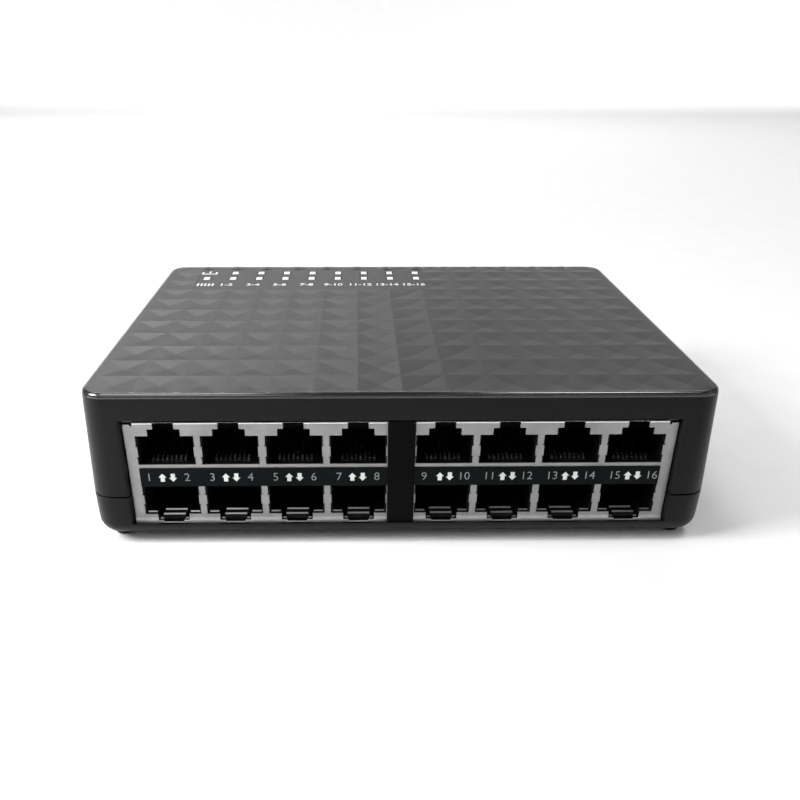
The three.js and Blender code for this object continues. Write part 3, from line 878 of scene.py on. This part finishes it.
def jack_shield(side):
    """Plated steel can round a block of eight ports, open below."""
    low, high = SHIELDS[side]
    front = rounded([(low.x, low.y), (high.x, low.y), (high.x, high.y), (low.x, high.y)], 0.12, 3)
    middle_x, middle_y = (low.x + high.x) / 2, (low.y + high.y) / 2
    rings = []
    for shrink, drop in ((0.0, FOLD[1]), (FOLD[0], 0.0)):
        sx = 1 - shrink / (high.x - middle_x)
        sy = 1 - shrink / (high.y - middle_y)
        rings.append([(middle_x + (x - middle_x) * sx, middle_y + (y - middle_y) * sy, high.z - drop)
                      for x, y in front])
    shield = loft(f"shield_{side}", [[(x, y, low.z) for x, y in front], *rings])
    hollow = box("hollow", (low.x + SHEET, high.x - SHEET), (low.y + SHEET, high.y - SHEET),
                 (low.z - 1, high.z - SHEET))
    combine(shield, "DIFFERENCE", [hollow])
    columns = [x for x in COLUMN_X if low.x < x < high.x]
    holes = [prism_y("hole", port_outline(x, levels), low.y - 1, low.y + SHEET + 0.2)
             for x in columns for levels in (UPPER, LOWER)]
    combine(shield, "DIFFERENCE", [join("holes", holes)])
    outward = -1 if side == "left" else 1
    edge = low.x if side == "left" else high.x
    depth = (low.y - 1, low.y + 0.9)
    ends = sorted((edge - outward * OUTER_CORNER["width"], edge + outward))
    corner = box("corner", ends, depth, (high.z - OUTER_CORNER["height"], high.z + 1))
    slot_ends = sorted(edge - outward * reach for reach in OUTER_CORNER["slot_x"])
    slot = box("slot", slot_ends, depth, sorted(high.z - drop for drop in OUTER_CORNER["slot_z"]))
    combine(shield, "DIFFERENCE", [corner])
    combine(shield, "DIFFERENCE", [slot])
    flare(shield, low.y)
    smooth(shield)
    soften(shield, 0.04)
    finish_piece(shield, MATERIALS["shield"], "case_body", [f"jack_shield_{side}"])


def steel_edge(y, z, run, rise, x0, x1):
    """A thin bright strip that leans back from (y, z) by run and rise."""
    thick = 0.07
    outline = [(y, z), (y + run, z + rise), (y + run - thick, z + rise + thick), (y - thick, z + thick)]
    return prism_x("edge", outline, x0, x1)


def latch_ramps():
    """A moulded ramp in the latch notch of each lower port."""
    profile = [(-49.95, 4.7), (-49.95, 5.6), (-49.66, 6.15), (-49.36, 6.53), (-49.1, 6.45),
               (-48.6, 5.9), (-47.7, 5.5), (-47.44, 6.03), (-47.14, 6.41), (-46.9, 6.4),
               (-46.4, 5.8), (-45.0, 5.3), (-45.0, 4.7)]
    ramps = [prism_x("ramp", rounded(profile, 0.08, 2), x - RAMP_HALF, x + RAMP_HALF) for x in COLUMN_X]
    made = join("latch_ramps", ramps)
    smooth(made, 40)
    finish_piece(made, MATERIALS["insulator"], "case_body")


def ground_edges():
    """Bright steel edges inside each lower port: two on the latch ramp, one on each shoulder."""
    edges = []
    for x in COLUMN_X:
        for y, z in ((-49.62, 6.22), (-47.40, 6.10)):
            edges.append(steel_edge(y, z, 0.24, 0.30, x - RAMP_HALF + 0.1, x + RAMP_HALF - 0.1))
        for side in (-1, 1):
            span = sorted((x + side * (STEP_WIDTH / 2 + 0.25), x + side * (PORT_WIDTH / 2 - 0.4)))
            edges.append(steel_edge(-49.75, LOWER["shoulder"], 0.22, 0.28, *span))
            tip = sorted((x + side * (NOTCH_WIDTH / 2 + 0.15), x + side * (STEP_WIDTH / 2 - 0.3)))
            edges.append(steel_edge(-49.95, LOWER["step"], 0.20, 0.26, *tip))
    made = join("ground_edges", edges)
    smooth(made)
    soften(made, 0.02)
    finish_piece(made, MATERIALS["edge"], "case_body")


# ---------------------------------------------------------------- printing

def number(text, size, weight):
    """A numeral, flat and slightly raised, with its strokes widened by weight."""
    curve = bpy.data.curves.new("number", "FONT")
    curve.body = text
    curve.size = size * MM
    curve.align_x = "CENTER"
    curve.align_y = "CENTER"
    curve.extrude = PRINT * MM
    curve.offset = weight * MM
    curve.resolution_u = 3
    made = bpy.data.objects.new("number", curve)
    bpy.context.scene.collection.objects.link(made)
    return made


def upright_print(piece, x, y, z):
    """Stands a flat print up on the front face."""
    turn = Matrix.Rotation(math.radians(90), 4, "X")
    piece.matrix_world = Matrix.Translation(Vector((x, y, z)) * MM) @ turn
    bpy.context.view_layer.update()
    return bake(piece)


def arrow(x, y, z, direction):
    """A bold arrow on the front face, pointing up for +1 and down for -1."""
    half_head, half_stem, reach, neck = 0.88, 0.46, 1.0, 0.05
    flat = [(-half_stem, -reach), (half_stem, -reach), (half_stem, neck), (half_head, neck),
            (0, reach), (-half_head, neck), (-half_stem, neck)]
    points = [(x + px, z + direction * pz) for px, pz in flat]
    return prism_y("arrow", points, y - PRINT, y + PRINT)


PRINT_SETS = {
    "left": {"odd": (-4.3,) * 4, "up": -1.35, "down": 0.95, "even": 4.1},
    "right": {"odd": (-4.25, -3.7, -3.7, -3.7), "up": -0.75, "down": 1.45, "even": 4.6},
}


def port_label(side):
    """Strip between the rows of ports, with the port numbers and arrows printed on it."""
    low, high = LABELS[side]
    strip = box(f"label_strip_{side}", (low.x, high.x), (low.y, high.y), (low.z, high.z))
    smooth(strip)
    soften(strip, 0.06)
    finish_piece(strip, MATERIALS["film"], "case_body", [f"port_label_{side}"])
    face, middle = low.y - PRINT, (low.z + high.z) / 2
    places = PRINT_SETS[side]
    columns = [x for x in COLUMN_X if low.x < x < high.x]
    digits, arrows = [], []
    for i, x in enumerate(columns):
        odd = 2 * COLUMN_X.index(x) + 1
        for text, offset in ((str(odd), places["odd"][i]), (str(odd + 1), places["even"])):
            digits.append(upright_print(number(text, *PORT_NUMERAL), x + offset, face, middle))
        arrows.append(arrow(x + places["up"], face, middle, 1))
        arrows.append(arrow(x + places["down"], face, middle, -1))
    finish_piece(join(f"port_numbers_{side}", digits), MATERIALS["grey"], "case_body")
    finish_piece(join(f"port_arrows_{side}", arrows), MATERIALS["white"], "case_body")


def flat_print(text, x, y):
    """A numeral that lies on the lamp zone."""
    piece = number(text, *LAMP_NUMERAL)
    piece.matrix_world = Matrix.Translation(Vector((x, y, LAMP_ZONE["z"] + PRINT)) * MM)
    return bake(piece)


def lamp_printing():
    """A power mark, column numbers and tick marks beside the lamps, in place of lettering."""
    ink = (LAMP_ZONE["z"] - PRINT, LAMP_ZONE["z"] + 2 * PRINT)
    line = LAMP_ROWS[0] + LAMP_NUMERAL_SHIFT[1]
    marks = []
    for column in range(1, LAMP_COLUMNS):
        x = LAMP_X + column * LAMP_PITCH + LAMP_NUMERAL_SHIFT[0]
        marks.append(flat_print(f"{2 * column - 1}-{2 * column}", x, line))
    for i in range(TICKS["count"]):
        x = LAMP_X + TICKS["start"] + i * TICKS["pitch"]
        marks.append(box("tick", (x, x + TICKS["width"]), (line - TICKS["half"], line + TICKS["half"]), ink))
    rear = LAMP_ROWS[1]
    bars = [((-2.4, 2.4), (-1.5, -0.9)), ((-2.4, -1.8), (-0.9, 0.9)), ((1.8, 2.4), (-0.9, 0.9)),
            ((-0.3, 0.3), (-0.3, 1.7))]
    for (x0, x1), (y0, y1) in bars:
        marks.append(box("power", (LAMP_X + x0, LAMP_X + x1), (rear + y0, rear + y1), ink))
    finish_piece(join("lamp_printing", marks), MATERIALS["white"], "case_body")


# ---------------------------------------------------------------- feet, screws, socket

def rubber_foot(hand):
    low, high = cad_box(f"rubber_foot_{hand}")
    centre = (low + high) / 2
    radius, top = high.x - centre.x, high.z
    profile = [(0.5, 0.25), (0.75, 0.05), (1.0, 0.0), (radius - 1.0, 0.0), (radius - 0.6, 0.1),
               (radius - 0.25, 0.32), (radius - 0.04, 0.65), (radius, 1.0), (radius, top)]
    foot = turned(f"foot_{hand}", profile, (centre.x, centre.y, 0), 48)
    smooth(foot, 50)
    finish_piece(foot, MATERIALS["rubber"], "case_body", [f"rubber_foot_{hand}"])


def case_screw(hand):
    low, high = cad_box(f"case_screw_{hand}")
    centre = (low + high) / 2
    seat, head = low.z + SCREW["seat"], SCREW["head_r"]
    profile = [(head - 0.7, low.z), (head - 0.25, low.z + 0.15), (head, low.z + 0.6), (head, seat),
               (SCREW["thread_r"], seat)]
    for i in range(SCREW["turns"]):
        z = seat + 0.8 + i * (high.z - seat - 2) / SCREW["turns"]
        profile += [(SCREW["root_r"], z), (SCREW["thread_r"], z + 0.35)]
    profile += [(0.9, high.z - 0.7), (0.25, high.z)]
    screw = turned(f"screw_{hand}", profile, (centre.x, centre.y, 0), 28)
    for name, half in (("slot_a", (1.5, 0.3)), ("slot_b", (0.3, 1.5))):
        slot = box(name, (centre.x - half[0], centre.x + half[0]), (centre.y - half[1], centre.y + half[1]),
                   (low.z - 1, low.z + 1.3))
        combine(screw, "DIFFERENCE", [slot])
    smooth(screw, 35)
    finish_piece(screw, MATERIALS["steel"], "case_body", [f"case_screw_{hand}"])


def dc_socket():
    """Moulded body of the socket with its round opening, and a turned centre pin."""
    low, high = DC_LOW, DC_HIGH
    body = box("dc_socket_body", (low.x, high.x), (low.y, high.y), (low.z, high.z))
    axis = ((low.x + high.x) / 2, 0, DC_AXIS_Z)
    radius, wide = DC_BORE["radius"], DC_BORE["radius"] + DC_BORE["flare"]
    bore = [(radius, high.y - DC_BORE["depth"]), (radius, high.y - DC_BORE["flare"]),
            (wide, high.y + 0.02), (wide, high.y + 1)]
    combine(body, "DIFFERENCE", [turned("bore", bore, axis, 56, along="y")])
    pin_hole = turned("pin_hole", [(1.3, low.y - 1), (1.3, high.y - 5)], axis, 24, along="y")
    combine(body, "DIFFERENCE", [pin_hole])
    leaf_room = box("leaf_room", (axis[0] - 1.6, axis[0] + 1.6), (low.y + 2.6, high.y - 1.6),
                    (low.z - 1, DC_AXIS_Z - 2))
    combine(body, "DIFFERENCE", [leaf_room])
    smooth(body)
    soften(body, 0.25)
    finish_piece(body, MATERIALS["insulator"], "case_body", ["dc_jack_body"])
    pin_low, pin_high = cad_box("dc_jack_pin")
    tip = pin_high.y
    pin = turned("dc_socket_pin", [(0.8, pin_low.y), (1.0, pin_low.y + 0.2), (1.0, tip - 0.7),
                 (0.92, tip - 0.4), (0.7, tip - 0.12), (0.35, tip)], axis, 36, along="y")
    smooth(pin, 50)
    finish_piece(pin, MATERIALS["steel"], "case_body", ["dc_jack_pin"])


# ---------------------------------------------------------------- CAD nodes that stay

CARRIED = {
    "circuit_board": ("board", 0.0),
    "light_guide": ("lens", 0.12),
    "jack_housing": ("insulator", 0.1),
    "contact_comb": ("contact", 0.06),
    "switch_chip": ("epoxy", 0.08),
    "heat_sink": ("aluminium", 0.1),
    "transformer": ("epoxy", 0.15),
    "capacitor": ("capacitor", 0.0),
    "crystal": ("steel", 0.3),
    "power_inductor": ("epoxy", 0.1),
    "regulator_chip": ("epoxy", 0.08),
    "rectifier_diode": ("epoxy", 0.08),
    "dc_jack_spring": ("contact", 0.05),
    "rating_label": ("paper", 0.03),
}


def dress_cad_nodes():
    for name, node in frame["nodes"].items():
        kind = next((kind for kind in CARRIED if name.startswith(kind)), None)
        if kind is None:
            continue
        material, edge = CARRIED[kind]
        node.data.materials.clear()
        node.data.materials.append(MATERIALS[material])
        if edge:
            soften(node, edge)


# ---------------------------------------------------------------- studio

def studio_sweep():
    """Round pale floor that curves up into a backdrop on every side."""
    flat, radius, high, steps = 1500.0, 600.0, 1800.0, 72
    profile = [(250.0, 0.0), (800.0, 0.0)]
    for k in range(13):
        a = math.radians(7.5 * k)
        profile.append((flat + radius * math.sin(a), radius * (1 - math.cos(a))))
    profile.append((flat + radius, high))
    turns = [2 * math.pi * i / steps for i in range(steps)]
    points = [(r * math.cos(a), r * math.sin(a), z) for r, z in profile for a in turns]
    faces = [list(range(steps))]
    for level in range(len(profile) - 1):
        for i in range(steps):
            j = (i + 1) % steps
            low, up = level * steps, (level + 1) * steps
            faces.append([low + i, up + i, up + j, low + j])
    sweep = add_mesh("studio_sweep", points, faces)
    smooth(sweep, 60)
    sweep.data.materials.append(studio_floor())


def softbox(name, place, target, size, radiance):
    """A rectangular area light at a place in millimetres, turned to a target."""
    light = bpy.data.lights.new(name, "AREA")
    light.shape = "RECTANGLE"
    light.size, light.size_y = size[0] * MM, size[1] * MM
    light.energy = math.pi * radiance * light.size * light.size_y
    made = bpy.data.objects.new(name, light)
    bpy.context.scene.collection.objects.link(made)
    made.location = Vector(place) * MM
    direction = Vector(target) - Vector(place)
    made.rotation_euler = direction.to_track_quat("-Z", "Y").to_euler()
    made.visible_camera = False


def panel(azimuth, elevation, radiance):
    """A soft panel on a sphere round the object. Azimuth 0 is behind it."""
    across, above = math.radians(azimuth), math.radians(elevation)
    out = Vector((math.cos(above) * math.sin(across), math.cos(above) * math.cos(across),
                  math.sin(above)))
    target = Vector((0, 0, 20))
    softbox("panel", target + 1200 * out, target, (390, 320), radiance)


# Panels as (azimuth, elevation, radiance)
PANELS = ((-29, 33, 5.8), (-10, 33, 4.6), (9, 33, 1.4), (28, 33, 1.35), (-156, 45, 3.2), (160, 45, 0.3))

# Other soft lights as (name, place, target, size, radiance)
SOFTBOXES = (
    ("floor_left", (-330, -120, 260), (-120, -110, 0), (160, 160), 25.0),
    ("overhead_left", (-340, -60, 1150), (-60, -60, 0), (330, 300), 9.5),
    ("overhead_right", (380, -60, 1150), (60, -60, 0), (330, 300), 11.5),
)

# Radiance on the far floor and on the backdrop: behind, then each further quarter turn
SURROUND = ((2.2, 3.2), (0.5, 0.5), (0.5, 0.6), (0.5, 0.5))


def studio_lights():
    """A bank of soft panels behind, brighter on the left, and soft light on the floor."""
    world = bpy.data.worlds.new("studio")
    bpy.context.scene.world = world
    world.use_nodes = True
    world.node_tree.nodes["Background"].inputs["Color"].default_value = (1, 1, 1, 1)
    world.node_tree.nodes["Background"].inputs["Strength"].default_value = 0.01
    for azimuth, elevation, radiance in PANELS:
        panel(azimuth, elevation, radiance)
    for name, place, target, size, radiance in SOFTBOXES:
        softbox(name, place, target, size, radiance)
    for quarter, (floor_light, wall_light) in enumerate(SURROUND):
        around = Matrix.Rotation(math.radians(90 * quarter), 3, "Z")
        softbox("far_floor", around @ Vector((0, 1000, 950)), around @ Vector((0, 1450, 0)),
                (2400, 300), floor_light)
        softbox("backdrop", around @ Vector((0, 1250, 420)), around @ Vector((0, 2050, 20)),
                (3000, 240), wall_light)


def camera():
    """The photographer's view: a little left of centre, looking down on the ports."""
    place, turn, tilt, roll = (-9.58, -205.32, 103.85), 0.0173, 0.4795, 0.0034
    forward = Vector((math.sin(turn) * math.cos(tilt), math.cos(turn) * math.cos(tilt), -math.sin(tilt)))
    level = Vector((math.cos(turn), -math.sin(turn), 0))
    above = level.cross(forward)
    right = math.cos(roll) * level + math.sin(roll) * above
    up = math.cos(roll) * above - math.sin(roll) * level
    lens = bpy.data.cameras.new("camera")
    lens.sensor_width = 36.0
    lens.lens = 35.98
    lens.shift_x, lens.shift_y = 0.0377, 0.0611
    lens.clip_start, lens.clip_end = 0.01, 20
    made = bpy.data.objects.new("camera", lens)
    bpy.context.scene.collection.objects.link(made)
    pose = Matrix((right, up, -forward)).transposed().to_4x4()
    made.matrix_world = Matrix.Translation(Vector(place) * MM) @ pose
    bpy.context.scene.camera = made


# ---------------------------------------------------------------- assembly

top_shell()
base_shell()
post()
for hand in ("left", "right"):
    jack_shield(hand)
    port_label(hand)
latch_ramps()
ground_edges()
lamp_printing()
for hand in ("front_left", "front_right", "rear_left", "rear_right"):
    rubber_foot(hand)
    case_screw(hand)
dc_socket()
dress_cad_nodes()
studio_sweep()
studio_lights()
camera()
bpy.context.scene.view_settings.view_transform = "Standard"
